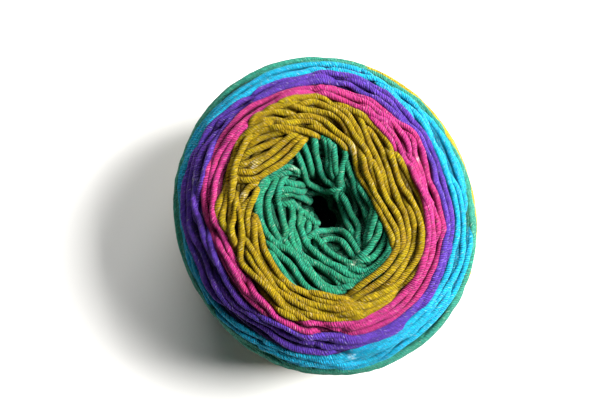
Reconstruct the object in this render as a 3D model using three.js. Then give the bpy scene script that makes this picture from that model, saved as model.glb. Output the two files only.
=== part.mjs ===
// A yarn cake: one long self-striping yarn wound on a mandrel into a squat drum and drawn off it.
// The drum has rounded shoulders, a flat base to stand on, a sunken top and a narrow hole through
// its middle, where the mandrel was. Its outline is slightly oval, and its rings lie off centre.
// The surface carries the main twists of the winding: bundles of turns that spiral round both ends
// and cross each other on the side. Millimetres, +Z up, origin under the middle of the flat base.
import * as THREE from "three";

// Driving sizes
const CAKE_HEIGHT = 90;
const BELLY_RADIUS = 70.6;
const YARN_DIAMETER = 2.9;
const AROUND = 72; // faces round the drum

// The long axis of the oval rings and of the pinched hole, in degrees from +X
const OVAL_DIRECTION = -68;
const HOLE_DIRECTION = -45;

// The main twists: each ridge is a bundle of a few turns lying side by side
const END_BUNDLE = 2.6 * YARN_DIAMETER; // distance between ridges on the two ends
const END_SPIRAL_STARTS = 3; // ridges that the end spirals gain in one turn
const SIDE_BUNDLE = 4.4 * YARN_DIAMETER; // height between crossing ridges on the side
const SIDE_CROSSINGS = 12; // ridges of each lean that a level line round the side meets
const BRAID_WAVES = 5; // times round the end that the ridges swing in and out
const BRAID_SWING = 0.3; // how far they swing, as a share of their spacing
const FULL_SWING_RADIUS = 40; // radius from which they swing that far, and less inside it
const RIDGE_FULLNESS = 0.6; // under 1 gives broad ridges and narrow grooves
const UNDER_RIDGE = 0.72; // height of the ridges that pass under, as a share of those over

// The wound form, one row for each level: up the wall of the hole, out over the top, down the side
// and in under the base, back to the first row.
//   radius, height   mean radius of the ring there, and its height
//   east, north      where the ring's centre lies from the drum's axis
//   oval             how much longer its half axis is than the mean radius
//   groove           depth of the grooves between the twists
//   cross            0 where the twists spiral, 1 where they cross
//   steps            faces from this row to the next
const LEVELS = [
  { name: "hole foot", radius: 9.5, height: 2.5, east: -2.2, north: -3.2, oval: 0.6, groove: 0, cross: 0, steps: 2 },
  { name: "hole low", radius: 7.4, height: 18, east: -2.2, north: -3.2, oval: 0.8, groove: 0, cross: 0, steps: 2 },
  { name: "hole middle", radius: 6.2, height: 44, east: -2.2, north: -3.2, oval: 1.2, groove: 0, cross: 0, steps: 2 },
  { name: "hole neck", radius: 5.2, height: 66, east: -2.2, north: -3.2, oval: 1.6, groove: 0, cross: 0, steps: 2 },
  { name: "hole mouth", radius: 6.4, height: 75.5, east: -2.2, north: -3.4, oval: 1.8, groove: 0.3, cross: 0, steps: 2 },
  { name: "pit wall", radius: 11.5, height: 81.5, east: -1.8, north: -4, oval: 2.2, groove: 0.8, cross: 0, steps: 4 },
  { name: "pit slope", radius: 20, height: 86.6, east: -1.8, north: -5.1, oval: 3.2, groove: 1.2, cross: 0, steps: 5 },
  { name: "inner crest", radius: 30, height: 89.7, east: -2.2, north: -5.6, oval: 3.8, groove: 1.4, cross: 0, steps: 5 },
  { name: "outer crest", radius: 40, height: CAKE_HEIGHT, east: -2.2, north: -4.6, oval: 4, groove: 1.4, cross: 0, steps: 6 },
  { name: "shoulder top", radius: 52.6, height: 84.4, east: -1.6, north: -3, oval: 3.6, groove: 1.4, cross: 0.1, steps: 4 },
  { name: "shoulder", radius: 62, height: 76, east: -0.9, north: -1.6, oval: 3.3, groove: 1.4, cross: 0.4, steps: 4 },
  { name: "upper side", radius: 68.4, height: 64.4, east: -0.2, north: -0.5, oval: 3.2, groove: 1.4, cross: 0.9, steps: 5 },
  { name: "belly", radius: BELLY_RADIUS, height: 48.5, east: 0, north: 0, oval: 3.2, groove: 1.4, cross: 1, steps: 5 },
  { name: "lower side", radius: 69.4, height: 30, east: 0, north: 0, oval: 3, groove: 1.4, cross: 1, steps: 4 },
  { name: "lower shoulder", radius: 65, height: 14, east: 0, north: -0.4, oval: 2.8, groove: 1.1, cross: 0.5, steps: 3 },
  { name: "base edge", radius: 57, height: 4, east: -0.4, north: -1, oval: 2.6, groove: 0.6, cross: 0.1, steps: 3 },
  { name: "base rim", radius: 48, height: 0, east: -0.8, north: -1.6, oval: 2.4, groove: 0, cross: 0, steps: 3 },
  { name: "base middle", radius: 32, height: 0, east: -0.8, north: -2.4, oval: 1.8, groove: 0, cross: 0, steps: 3 },
  { name: "base inner", radius: 17, height: 0, east: -0.4, north: -3.2, oval: 1, groove: 0, cross: 0, steps: 2 },
];
const FLAT_FROM = LEVELS.findIndex((level) => level.name === "base rim");
const NUMBERS = Object.keys(LEVELS[0]).filter((key) => key !== "name" && key !== "steps");

const radians = THREE.MathUtils.degToRad;

// Numbers of the row `part` of the way from row `index` to the next, on a smooth curve through the
// rows. The base is straight from row to row, so that it stays flat.
function levelBetween(index, part) {
  const row = (offset) => LEVELS[(index + offset + LEVELS.length) % LEVELS.length];
  const straight = index >= FLAT_FROM && index < LEVELS.length - 1;
  const made = {};
  for (const key of NUMBERS) {
    const [before, start, end, after] = [-1, 0, 1, 2].map((offset) => row(offset)[key]);
    const lean = straight ? end - start : (end - before) / 2;
    const leanAfter = straight ? end - start : (after - start) / 2;
    const square = part * part;
    const cube = square * part;
    made[key] =
      (2 * cube - 3 * square + 1) * start +
      (cube - 2 * square + part) * lean +
      (3 * square - 2 * cube) * end +
      (cube - square) * leanAfter;
  }
  made.height = THREE.MathUtils.clamp(made.height, 0, CAKE_HEIGHT);
  made.groove = Math.max(0, made.groove);
  made.onHole = THREE.MathUtils.clamp((20 - made.radius) / 10, 0, 1);
  return made;
}

// All the levels of the form, with the distance along the profile to each
function allLevels() {
  const levels = [];
  LEVELS.forEach((row, index) => {
    for (let step = 0; step < row.steps; step += 1) {
      levels.push(levelBetween(index, step / row.steps));
    }
  });
  let along = 0;
  levels.forEach((level, index) => {
    const last = levels[Math.max(0, index - 1)];
    along += Math.hypot(level.radius - last.radius, level.height - last.height);
    level.along = along;
  });
  return levels;
}

// A point of the smooth form, with no twists, on a level at an angle
function formPoint(level, angle) {
  const ringOval = level.oval * Math.cos(2 * (angle - radians(OVAL_DIRECTION)));
  const holeOval = level.oval * Math.cos(2 * (angle - radians(HOLE_DIRECTION)));
  const radius = level.radius + THREE.MathUtils.lerp(ringOval, holeOval, level.onHole);
  return new THREE.Vector3(
    level.east + radius * Math.cos(angle),
    level.north + radius * Math.sin(angle),
    level.height,
  );
}

// A row of rounded ridges, 1 on each crest and 0 in each groove
function ridge(phase) {
  return Math.abs(Math.sin(Math.PI * phase)) ** RIDGE_FULLNESS;
}

// How far the surface lies below the crests of the twists
function grooveDepth(level, angle) {
  const turn = angle / (2 * Math.PI);
  const reach = BRAID_SWING * Math.min(1, level.radius / FULL_SWING_RADIUS);
  const swing = reach * Math.sin(BRAID_WAVES * angle + level.along / END_BUNDLE);
  const spiral = ridge(level.along / END_BUNDLE + END_SPIRAL_STARTS * turn + swing);
  const rising = ridge(level.height / SIDE_BUNDLE + SIDE_CROSSINGS * turn);
  const falling = ridge(level.height / SIDE_BUNDLE - SIDE_CROSSINGS * turn);
  const crossing = Math.max(rising, UNDER_RIDGE * falling);
  return level.groove * (1 - THREE.MathUtils.lerp(spiral, crossing, level.cross));
}

// The direction straight out of the smooth form
function outward(levels, index, angle) {
  const next = levels[(index + 1) % levels.length];
  const last = levels[(index - 1 + levels.length) % levels.length];
  const along = formPoint(next, angle).sub(formPoint(last, angle));
  const aside = (2 * Math.PI) / AROUND;
  const round = formPoint(levels[index], angle + aside).sub(formPoint(levels[index], angle - aside));
  return round.cross(along).negate().normalize();
}

// The wound yarn as one solid: a lathe that closes on itself, its points then moved to the oval,
// off-centre rings and pressed in between the twists
function woundYarn() {
  const levels = allLevels();
  const profile = [...levels, levels[0]].map((level) => new THREE.Vector2(level.radius, level.height));
  const geometry = new THREE.LatheGeometry(profile, AROUND);
  const places = geometry.getAttribute("position");
  for (let side = 0; side <= AROUND; side += 1) {
    const angle = -((side % AROUND) / AROUND) * 2 * Math.PI;
    for (let step = 0; step < profile.length; step += 1) {
      const index = step % levels.length;
      const point = formPoint(levels[index], angle);
      const depth = grooveDepth(levels[index], angle);
      point.addScaledVector(outward(levels, index, angle), -depth);
      places.setXYZ(side * profile.length + step, point.x, point.y, point.z);
    }
  }
  standOnBase(geometry);
  return geometry;
}

// Puts the origin under the middle of the form, at the height of its base
function standOnBase(geometry) {
  geometry.computeBoundingBox();
  const { min, max } = geometry.boundingBox;
  geometry.translate(-(min.x + max.x) / 2, -(min.y + max.y) / 2, -min.z);
  geometry.computeVertexNormals();
}

const dyedYarn = new THREE.MeshStandardMaterial({ color: 0x2b8162, roughness: 0.9, metalness: 0 });

const cake = new THREE.Group();
const wound = new THREE.Mesh(woundYarn(), dyedYarn);
wound.name = "wound_yarn";
cake.add(wound);

export default cake;
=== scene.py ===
import math

import bmesh
import bpy
import numpy as np
from bpy.props import FloatProperty, FloatVectorProperty, IntProperty, PointerProperty
from mathutils import Matrix, Vector
from mathutils.bvhtree import BVHTree


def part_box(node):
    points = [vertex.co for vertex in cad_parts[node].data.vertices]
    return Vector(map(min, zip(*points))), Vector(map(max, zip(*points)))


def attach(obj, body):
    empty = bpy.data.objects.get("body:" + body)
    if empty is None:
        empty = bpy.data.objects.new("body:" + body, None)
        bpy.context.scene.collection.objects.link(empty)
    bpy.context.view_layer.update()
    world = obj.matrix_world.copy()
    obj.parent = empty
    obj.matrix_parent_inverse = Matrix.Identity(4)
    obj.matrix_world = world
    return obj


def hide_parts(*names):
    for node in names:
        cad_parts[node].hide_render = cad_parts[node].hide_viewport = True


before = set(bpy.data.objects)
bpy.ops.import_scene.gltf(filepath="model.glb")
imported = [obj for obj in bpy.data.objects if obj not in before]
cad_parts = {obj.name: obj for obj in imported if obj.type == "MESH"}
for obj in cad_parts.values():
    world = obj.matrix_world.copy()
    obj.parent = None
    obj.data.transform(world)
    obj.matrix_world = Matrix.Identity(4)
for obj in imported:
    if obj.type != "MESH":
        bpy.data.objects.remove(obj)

bl_info = {
    "name": "Yarn cake",
    "version": (1, 0, 0),
    "blender": (4, 5, 0),
    "location": "View3D > Sidebar > Yarn cake",
    "description": "Winds a cake of self-striping plied yarn round the packed model",
    "category": "Object",
}

# Lengths in this file are millimetres, turned to metres where a mesh or a light is made
MM = 0.001
NODE = "wound_yarn"
CAKE_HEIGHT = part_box(NODE)[1][2] / MM
FULL_TURN = 2 * math.pi

# The rings are measured round this point of the top, just beside the middle of the hole
RING_EAST = -2.2
RING_NORTH = -3.7

# Stops of the colour ramp, in the order in which the yarn was wound
GREEN, OLIVE, MAGENTA, PURPLE, CYAN, RIM, LAST = range(7)
DYES = ("green", "olive", "magenta", "purple", "cyan", "rim", "last")

draw = np.random.default_rng(20)
state = {}  # the pile of yarn wound so far and the yarn's material, for all the operators


def linear(hex_colour, alpha=1.0):
    """The linear colour of an sRGB hex value."""
    parts = [int(hex_colour[i : i + 2], 16) / 255 for i in (0, 2, 4)]
    bent = [p / 12.92 if p <= 0.04045 else ((p + 0.055) / 1.055) ** 2.4 for p in parts]
    return (*bent, alpha)


def colour(name, hex_colour, description):
    """A colour setting that starts from an sRGB hex value."""
    start = linear(hex_colour)
    return FloatVectorProperty(
        name=name, description=description, subtype="COLOR", size=4, min=0, max=1, default=start
    )


class YarnSizes(bpy.types.PropertyGroup):
    """Sizes of the yarn and of the winding, in millimetres."""

    diameter: FloatProperty(name="Yarn diameter", description="As wound, mm", default=2.9, min=0.5)
    # The real plies lie about 0.7 mm apart, and are drawn coarser so that they show at the photo's size
    ply_spacing: FloatProperty(
        name="Ply spacing", description="Along the yarn, mm", default=0.92, min=0.1
    )
    squeeze: FloatProperty(
        name="Squeeze",
        description="Share of its thickness at which a turn rests on another",
        default=0.8,
        subtype="FACTOR",
    )
    core_depth: FloatProperty(
        name="Core depth", description="From the outside to the core of inner turns, mm", default=6.0
    )
    side_loops: IntProperty(name="Side loops", description="Loops round the side", default=38, min=1)


class YarnColours(bpy.types.PropertyGroup):
    """Dyes of the self-striping yarn, from the middle outwards."""

    green: colour("Green", "1d7658", "Stretch round the hole")
    olive: colour("Mustard", "866f00", "Second stretch")
    magenta: colour("Magenta", "9f2966", "Third stretch")
    purple: colour("Violet", "4d2f8c", "Fourth stretch")
    cyan: colour("Turquoise", "1493b4", "Fifth stretch")
    rim: colour("Sea green", "2c806b", "Sixth stretch, on the side")
    last: colour("Pale mustard", "a58f1c", "Last turns, on the side")
    undyed: colour("Undyed", "efe9d6", "Slubs and flecks that took little dye")
    table: colour("Table", "f8f6f2", "Painted boards")


class YarnCakeSettings(bpy.types.PropertyGroup):
    """Everything that a user would change."""

    sizes: PointerProperty(type=YarnSizes)
    colours: PointerProperty(type=YarnColours)


def settings():
    """The scene's settings for this cake."""
    return bpy.context.scene.yarn_cake


# The wound form

TURNS = 180  # readings round the drum
SECTION = 360  # readings round its section
CORE_RADIUS = 38.0  # circle inside the solid from which the form is read
CORE_HEIGHT = 42.0
EVEN_SECTION = 3.5  # readings round the section over which the twists are evened out
EVEN_TURNS = 2.0  # and readings round the drum
FORM_STEP = 0.5  # spacing of the rows along the profile
FORM_FIRST = -140.0  # the row inside the hole, over the top from the belly, which is 0
FORM_LAST = 112.0  # the row at the hole on the underside
TABLE_STEP = 0.5  # spacing of the radii and heights for which the rows are tabled
TABLE_RADIUS = 76  # and the ends of the tables, past the widest and highest places
TABLE_HEIGHT = 92


def soften(values, axis, spread):
    """A rounded running mean along an axis that closes on itself."""
    reach = int(3 * spread)
    total = 0
    weights = 0
    for shift in range(-reach, reach + 1):
        weight = math.exp(-0.5 * (shift / spread) ** 2)
        total = total + weight * np.roll(values, shift, axis)
        weights += weight
    return total / weights


def unit(rows):
    """Directions of a list of vectors, one unit long."""
    return rows / np.maximum(np.linalg.norm(rows, axis=-1, keepdims=True), 1e-9)


class WoundForm:
    """The smooth outside of the cake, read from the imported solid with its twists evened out.

    A place on it is a distance along the profile, 0 at the belly, under 0 over the top and into
    the hole, over 0 round the underside, and an angle round the ring centre.
    """

    def __init__(self):
        reach = soften(soften(self.read_solid(), 0, EVEN_SECTION), 1, EVEN_TURNS)
        # The profile starts and ends in the hole: the rays straight towards it are left out
        lift = np.radians(180 - np.arange(2, SECTION - 1) * 360 / SECTION)
        radius = CORE_RADIUS + reach[2:-1] * np.cos(lift)[:, None]
        height = CORE_HEIGHT + reach[2:-1] * np.sin(lift)[:, None]
        belly = int(np.argmin(np.abs(lift)))
        self.along = np.arange(FORM_FIRST, FORM_LAST, FORM_STEP)
        self.radius = np.empty((len(self.along), TURNS))
        self.height = np.empty((len(self.along), TURNS))
        for turn in range(TURNS):
            steps = np.hypot(np.diff(radius[:, turn]), np.diff(height[:, turn]))
            length = np.concatenate([[0], np.cumsum(steps)])
            length -= length[belly]
            self.radius[:, turn] = np.interp(self.along, length, radius[:, turn])
            self.height[:, turn] = np.interp(self.along, length, height[:, turn])
        angles = np.arange(TURNS) * FULL_TURN / TURNS
        east = RING_EAST + self.radius * np.cos(angles)
        north = RING_NORTH + self.radius * np.sin(angles)
        self.place = np.stack([east, north, self.height], axis=-1)
        down = np.gradient(self.place, axis=0)
        round_it = np.roll(self.place, -1, axis=1) - np.roll(self.place, 1, axis=1)
        self.out = unit(np.cross(down, round_it))
        self.find_rows()

    def read_solid(self):
        """Distances from a circle inside the solid to its surface, round the section and the drum."""
        tree = BVHTree.FromObject(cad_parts[NODE], bpy.context.evaluated_depsgraph_get())
        reach = np.empty((SECTION, TURNS))
        for turn in range(TURNS):
            angle = turn * FULL_TURN / TURNS
            outward = Vector((math.cos(angle), math.sin(angle), 0))
            start = Vector((RING_EAST, RING_NORTH, CORE_HEIGHT)) + outward * CORE_RADIUS
            for step in range(SECTION):
                lift = math.radians(180 - step * 360 / SECTION)
                ray = outward * math.cos(lift) + Vector((0, 0, math.sin(lift)))
                hit = tree.ray_cast(start * MM, ray)
                if hit[3] is None:
                    raise RuntimeError("the wound solid is open: a ray from inside it met nothing")
                reach[step, turn] = hit[3] / MM
        return reach

    def find_rows(self):
        """Tables that give the row for a radius on the top or underside, or for a height on the side."""
        radii = np.arange(0, TABLE_RADIUS, TABLE_STEP)
        heights = np.arange(0, TABLE_HEIGHT, TABLE_STEP)
        self.top_rows = np.empty((len(radii), TURNS))
        self.under_rows = np.empty((len(radii), TURNS))
        self.side_rows = np.empty((len(heights), TURNS))
        for turn in range(TURNS):
            radius = self.radius[:, turn]
            height = self.height[:, turn]
            belly = int(np.argmax(radius))
            neck = int(np.argmin(radius[:belly]))
            foot = belly + int(np.argmin(radius[belly:]))
            crest = neck + int(np.argmax(height[neck:belly]))
            base = belly + int(np.argmin(height[belly:foot]))
            tables = (
                (self.top_rows, radii, radius, slice(neck, belly + 1), 1),
                (self.under_rows, radii, radius, slice(belly, foot + 1), -1),
                (self.side_rows, heights, height, slice(crest, base + 1), -1),
            )
            for table, wanted, values, stretch, way in tables:
                growing = np.maximum.accumulate(values[stretch][::way])
                table[:, turn] = np.interp(wanted, growing, self.along[stretch][::way])

    @staticmethod
    def read(table, row, angle):
        """Values of a table between its rows and round its turns."""
        # Kept just short of the last row, since the row after it is read too
        row = np.clip(row, 0, len(table) - 1.001)
        column = np.mod(angle, FULL_TURN) / FULL_TURN * TURNS
        low = row.astype(int)
        left = column.astype(int) % TURNS
        right = (left + 1) % TURNS
        up = row - low
        over = column - np.floor(column)
        if table.ndim == 3:
            up = up[:, None]
            over = over[:, None]
        near = table[low, left] * (1 - up) + table[low + 1, left] * up
        far = table[low, right] * (1 - up) + table[low + 1, right] * up
        return near * (1 - over) + far * over

    def on_top(self, angle, radius):
        """Distances along the profile of places on the top."""
        return self.read(self.top_rows, radius / TABLE_STEP, angle)

    def on_underside(self, angle, radius):
        """Distances along the profile of places on the underside."""
        return self.read(self.under_rows, radius / TABLE_STEP, angle)

    def on_side(self, angle, height):
        """Distances along the profile of places on the side."""
        return self.read(self.side_rows, height / TABLE_STEP, angle)

    def places(self, along, angle):
        """Points on the form, directions out of it and radii."""
        row = (along - FORM_FIRST) / FORM_STEP
        return [self.read(table, row, angle) for table in (self.place, self.out, self.radius)]


# The winding

GRID_ROUND = 880  # cells of the pile round the drum
MOST_CELLS = 80  # most cells that a strand covers to either side
LEAST_RADIUS = 2.0  # radius for which they are counted where a strand comes nearer the ring centre
BED_DEPTH = 0.6  # from the surface of the core to the bed, where the ends of strands lie
PATH_STEP = 1.0  # distance between the points of a strand
TAUT_PASSES = 90
TAUT_SAG = 0.035  # how far a point may lie under the mean of its neighbours
PRESS = 0.5  # share of the height over its limit that a turn keeps
TUCK = 13.0  # length over which the end of a strand goes under the others
LONGEST_TUCK = 0.35  # and the most that it may be, as a share of the strand
RUN_ON = 7.5  # length by which a strand runs on past its last place in the table
KNOT_POINTS = 24  # points from one place in the table to the next
PATTERN_RUN = 500  # length of yarn along which the pattern of a strand may start


def smooth_step(share):
    """0 to 1 with level ends."""
    share = np.clip(share, 0, 1)
    return share * share * (3 - 2 * share)


class Pile:
    """Height of the yarn wound so far over the form, on a grid along its profile and round it."""

    def __init__(self, form, depth, contact):
        self.form = form
        self.contact = contact
        self.bed = -depth - BED_DEPTH
        self.turn_step = FULL_TURN / GRID_ROUND
        self.height = np.full((len(form.along), GRID_ROUND), -depth)

    def cells(self, along, angle, radius):
        """Cells under a strand and the rise of its round section over each."""
        reach = self.contact
        rows = int(math.ceil(reach / FORM_STEP))
        columns = math.ceil(reach / (max(LEAST_RADIUS, radius.min()) * self.turn_step))
        columns = int(min(MOST_CELLS, columns))
        row = np.rint((along - FORM_FIRST) / FORM_STEP).astype(int)
        column = np.rint(angle / self.turn_step).astype(int)
        row = row[:, None, None] + np.arange(-rows, rows + 1)[None, :, None]
        column = column[:, None, None] + np.arange(-columns, columns + 1)[None, None, :]
        off_along = row * FORM_STEP + FORM_FIRST - along[:, None, None]
        off_round = (column * self.turn_step - angle[:, None, None]) * radius[:, None, None]
        inside = 1 - (off_along**2 + off_round**2) / reach**2
        rise = np.where(inside > 0, reach * np.sqrt(np.maximum(inside, 0)), -np.inf)
        return np.clip(row, 0, len(self.height) - 1), column % GRID_ROUND, rise

    def wind(self, strand):
        """Lays a strand on the pile: it rests on what is there, pulled taut, with its ends tucked under."""
        cells = self.cells(strand.along, strand.angle, strand.radius)
        rows, columns, rise = np.broadcast_arrays(*cells)
        level = (self.height[rows, columns] + rise).max(axis=(1, 2))
        level = np.minimum(level, strand.limit + PRESS * (level - strand.limit))
        for _ in range(TAUT_PASSES):
            bridge = (level[:-2] + level[2:]) / 2 - TAUT_SAG
            level[1:-1] = np.maximum(level[1:-1], bridge)
        level = self.bed + (level - self.bed) * strand.open
        strand.level = level
        np.maximum.at(self.height, (rows, columns), level[:, None, None] + rise)


class Strand:
    """One visible stretch of the yarn, from where it comes out from under others to where it goes under.

    Its limit is the height over the form above which it is pressed down. Sides and every say how
    finely it is drawn: the faces round it, and the step from one drawn point to the next.
    """

    def __init__(self, pile, along, angle, dye, limit, sides=12, every=1, shown=None):
        length = running_length(pile.form.places(along, angle)[0])
        count = max(4, int(length[-1] / PATH_STEP) + 1)
        self.length = np.linspace(0, length[-1], count)
        self.along = np.interp(self.length, length, along)
        self.angle = np.interp(self.length, length, angle)
        self.dye = np.interp(self.length, length, np.broadcast_to(np.asarray(dye, float), along.shape))
        self.place, self.out, self.radius = pile.form.places(self.along, self.angle)
        self.limit = limit
        self.sides = sides
        self.every = every
        ends = np.minimum(self.length, self.length[-1] - self.length)
        self.open = smooth_step(ends / max(0.1, min(TUCK, LONGEST_TUCK * length[-1])))
        if shown is not None:
            self.open = self.open * np.interp(self.length, length, shown)
        self.pale = np.zeros(count)
        self.swell = np.ones(count)
        self.shade = draw.uniform(-1, 1)
        self.start = draw.uniform(0, PATTERN_RUN)
        pile.wind(self)

    def centre_line(self):
        """Points along the middle of the strand."""
        return self.place + self.out * self.level[:, None]


def running_length(points):
    """Distance along a line of points to each of them."""
    return np.concatenate([[0], np.cumsum(np.linalg.norm(np.diff(points, axis=0), axis=1))])


def through(knots):
    """East and north of points close together on a smooth curve through (degrees, radius) knots.

    The curve runs straight on past its first and last knots, there to go under its neighbours.
    """
    turn = np.radians([knot[0] for knot in knots])
    reach = np.array([knot[1] for knot in knots], float)
    corners = np.stack([reach * np.cos(turn), reach * np.sin(turn)], axis=1)
    corners = np.vstack([run_on(corners[1], corners[0]), corners, run_on(corners[-2], corners[-1])])
    corners = np.vstack([2 * corners[0] - corners[1], corners, 2 * corners[-1] - corners[-2]])
    share = np.linspace(0, 1, KNOT_POINTS, endpoint=False)[:, None]
    bends = []
    for a, b, c, d in zip(corners, corners[1:], corners[2:], corners[3:]):
        lean = (c - a) * share
        bow = (2 * a - 5 * b + 4 * c - d) * share**2
        close = (3 * b - a - 3 * c + d) * share**3
        bends.append(0.5 * (2 * b + lean + bow + close))
    return np.vstack([*bends, corners[-2:-1]])


def run_on(before, end):
    """The place a little past the end of a curve, away from the knot before it."""
    ahead = end - before
    return end + ahead / np.linalg.norm(ahead) * RUN_ON


# Where one dye gives way to the next on the top: mean radius, then size and direction of each wave
# round the ring, once, twice, three and four times a turn
RING_EDGES = {
    GREEN: (28.2, (5.4, -102), (4.2, -75), (1.8, -38), (1.3, -14)),
    OLIVE: (44.2, (0.8, -161), (4.1, -66), (0.7, -29), (0.4, -9)),
    MAGENTA: (52.6, (1.2, 45), (3.4, -66), (0.9, -46), (0.6, -44)),
    PURPLE: (60.4, (2.4, 128), (3.1, -75), (1.5, -41), (1.5, -14)),
    CYAN: (66.3, (2.2, 33), (3.4, -72), (0.0, 0), (1.3, -33)),
}


def ring_edge(dye, angle):
    """Radius at which a dye ends."""
    mean, *waves = RING_EDGES[dye]
    radius = np.full(np.shape(angle), mean)
    for times, (size, towards) in enumerate(waves, start=1):
        radius = radius + size * np.cos(times * (angle - math.radians(towards)))
    return radius


def dye_at(angle, radius):
    """The dye on show at a place of the top or underside."""
    dye = np.zeros(np.shape(angle))
    for ring in RING_EDGES:
        dye = dye + (radius > ring_edge(ring, angle))
    return dye


# The turns that show on the top, as they lie: places along each turn as (degrees round the ring
# centre, radius). Later rows lie over earlier ones.
GREEN_TURNS = [
    # Short turns that come up out of the hole
    [(190, 7), (210, 9), (224, 12), (233, 15)],
    [(218, 6.5), (234, 9), (243, 12), (250, 15)],
    [(250, 6.5), (256, 9), (260, 12), (264, 15)],
    [(173, 17), (167, 12.5), (184, 8.5)],
    [(166, 19), (158, 16.5), (150, 14), (146, 11.5)],
    [(162, 21), (154, 18.5), (147, 16), (141, 13.5), (136, 12)],
    [(155, 22.5), (145, 20), (139, 17), (132, 15), (127, 13.5)],
    # Turns that fan out over the upper wall of the pit
    [(106, 29), (105, 25.5), (104, 21.5), (104, 18)],
    [(156, 25.5), (149, 24.5), (142, 23), (134, 21.5), (127, 19.5), (120, 16.5)],
    [(147, 25.5), (139, 25), (131, 23.5), (126, 21.5), (122, 19)],
    [(91, 32), (87, 28), (84, 24), (82, 20.5), (80, 17), (70, 13.5)],
    [(86, 30), (81, 26), (78, 21.5), (75, 17), (64, 13)],
    [(80, 29), (78, 25.5), (74, 21), (68, 17), (57, 14.5), (43, 12.5)],
    [(71, 27.5), (66, 24.5), (64, 20), (60, 16.5), (55, 13)],
    [(63, 22.5), (54, 19.5), (43, 17.5), (31, 16), (15, 15.5), (358, 17), (348, 18.5), (339, 19.5)],
    # Turns down the right wall of the pit
    [(52, 12.5), (52, 9.5), (30, 8), (357, 8.5), (338, 11), (325, 15), (317, 18.5)],
    [(42, 10), (20, 10.5), (359, 11.5), (344, 14), (332, 17), (322, 18.5), (314, 21.5)],
    [(40, 18.5), (27, 18), (13, 19), (1, 21), (351, 21), (340, 21), (328, 21.5), (318, 23.5)],
    [(34, 20.5), (21, 21), (8, 22.5), (357, 23), (346, 22.5), (336, 22.5), (325, 23.5), (317, 24.5)],
    # Turns down the left wall of the pit
    [(168, 14), (181, 12.5), (197, 12.5), (211, 14), (227, 16), (242, 18.5)],
    [(166, 10.5), (185, 9.5), (210, 11), (233, 13.5), (252, 16.5), (268, 20), (281, 23.5), (297, 30.5)],
    [(194, 12), (205, 14.5), (219, 17), (232, 19), (245, 20.5), (257, 22), (268, 24), (281, 30.5),
     (287, 33)],
    [(137, 20), (147, 20.5), (157, 20), (167, 19), (176, 17.5), (189, 16.5), (202, 17), (215, 18.5),
     (224, 20.5)],
    [(145, 22.5), (160, 22.5), (176, 22.5), (198, 22), (225, 22), (238, 22), (251, 24.5)],
    [(150, 25), (168, 26), (187, 25.5), (207, 25), (224, 24)],
    [(151, 26.5), (166, 27.5), (182, 27)],
    # Arches under the hole
    [(267, 13.5), (279, 12), (292, 12.5), (301, 15), (303, 18), (303, 21.5), (304, 24)],
    [(243, 14), (250, 11), (267, 9), (288, 8.7), (306, 9.5), (316, 12), (315, 16), (311, 21), (309, 25),
     (310, 29)],
    # Turns round the foot of the pit
    [(253, 24), (263, 23.5), (271, 25.5), (278, 28.5), (282, 31.5)],
    [(244, 11), (262, 13), (276, 16.5), (285, 20), (292, 23), (297, 26), (304, 28)],
    [(349, 24.5), (336, 25.5), (327, 25.5), (318, 26), (309, 26), (302, 25)],
    [(343, 27.5), (333, 28.5), (322, 29), (314, 29), (306, 27.5), (297, 26)],
    [(338, 30.5), (328, 32.5), (319, 33), (311, 32.5), (304, 31.5), (298, 29), (292, 26)],
    [(332, 33.5), (325, 34.5), (316, 34.5), (308, 34), (301, 33.5), (294, 31.5), (288, 28), (282, 25)],
    [(326, 35.5), (315, 35.5), (306, 35.5), (298, 35), (291, 33), (285, 31), (278, 28), (271, 24.5)],
    [(216, 20), (229, 21.5), (240, 22.5), (252, 24), (260, 27), (267, 30), (273, 32), (280, 34),
     (294, 35)],
    [(201, 25.5), (212, 25), (222, 24), (231, 23), (242, 23.5), (253, 26.5), (268, 32.5), (276, 35),
     (283, 35)],
    [(210, 27), (220, 26.5), (230, 26.5), (240, 27), (250, 29.5), (257, 32.5), (263, 34.5), (269, 35)],
    [(217, 28), (227, 29), (237, 30.5), (245, 33), (251, 35), (258, 35.5)],
    # The bright turns over the mouth of the hole
    [(98, 33), (96, 28.5), (96, 24), (94, 20), (92, 16.5), (83, 13), (68, 12), (51, 11.5)],
    [(115, 28.5), (114, 24.5), (114, 20.5), (115, 17.5), (116, 13.5), (107, 10.5), (84, 8.5), (64, 9.5),
     (54, 12)],
]
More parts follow.
